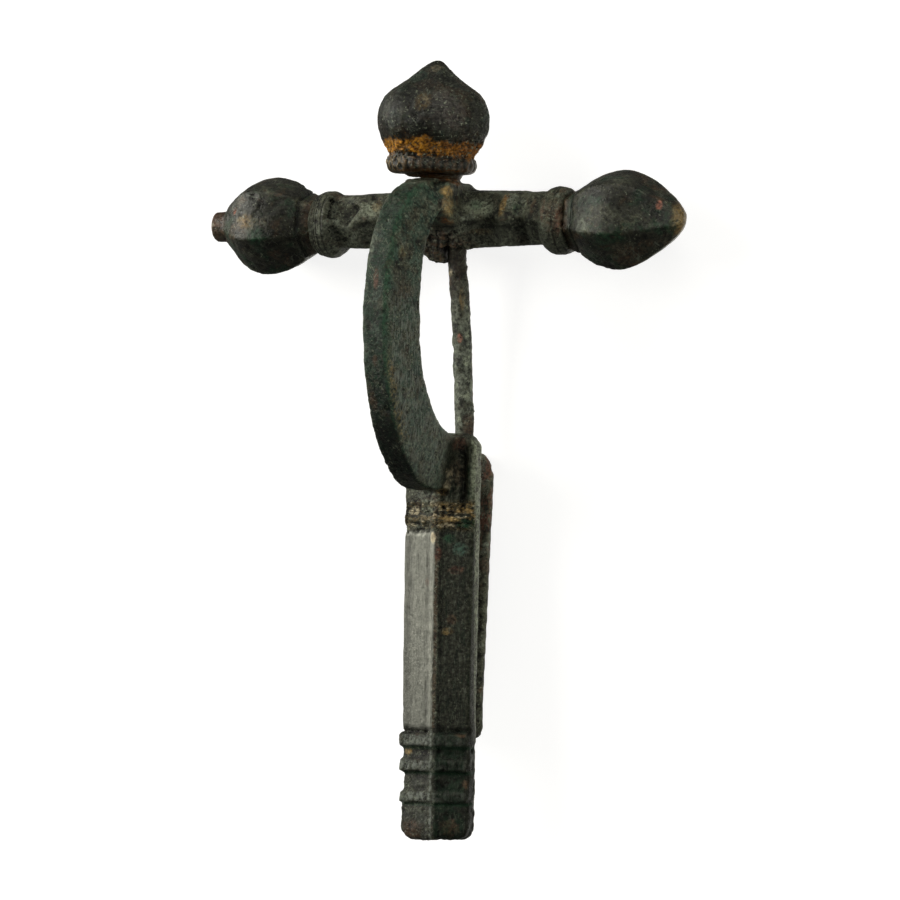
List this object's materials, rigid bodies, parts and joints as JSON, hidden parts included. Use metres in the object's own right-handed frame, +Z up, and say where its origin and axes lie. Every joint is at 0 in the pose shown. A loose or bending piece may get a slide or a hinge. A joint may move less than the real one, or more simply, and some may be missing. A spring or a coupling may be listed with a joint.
{
  "type": "crossbow brooch",
  "caption": "Ancient cast bronze crossbow fibula with onion knobs on crossbar and head, an arched bow, a long moulded foot with a needle catch, and a hinged pin.",
  "frame": {"origin": "middle of the brooch's outline, on the surface it lies on", "axes": "+X along the crossbar, to the right with the head up; +Y from the foot to the head; +Z up, away from the surface, the side the bow stands on"},
  "size_m": [0.0532, 0.08, 0.0222],
  "materials": {
    "bronze_patina": "corroded bronze with a dark green and grey patina, satin on the foot's worn faces, brown and cream crusts in the hollows",
    "knob_patina": "dark green-brown bronze patina with copper-red specks, rusty at the collars",
    "pin_patina": "greenish grey bronze needle with orange-brown rust in patches",
    "axle_rust": "corroded iron"
  },
  "bodies": {
    "root": {"body": "bronze_patina", "head_knob": "knob_patina", "left_knob": "knob_patina", "right_knob": "knob_patina", "hinge_axle": "axle_rust"},
    "pin": {"pin": "pin_patina"}
  },
  "joints": [
    {"name": "pin_hinge", "type": "hinge", "parent": "root", "child": "pin", "pos_m": [0.0011, 0.0234, 0.00505], "axis": [1, 0, 0], "range_deg": [0, 75]}
  ]
}
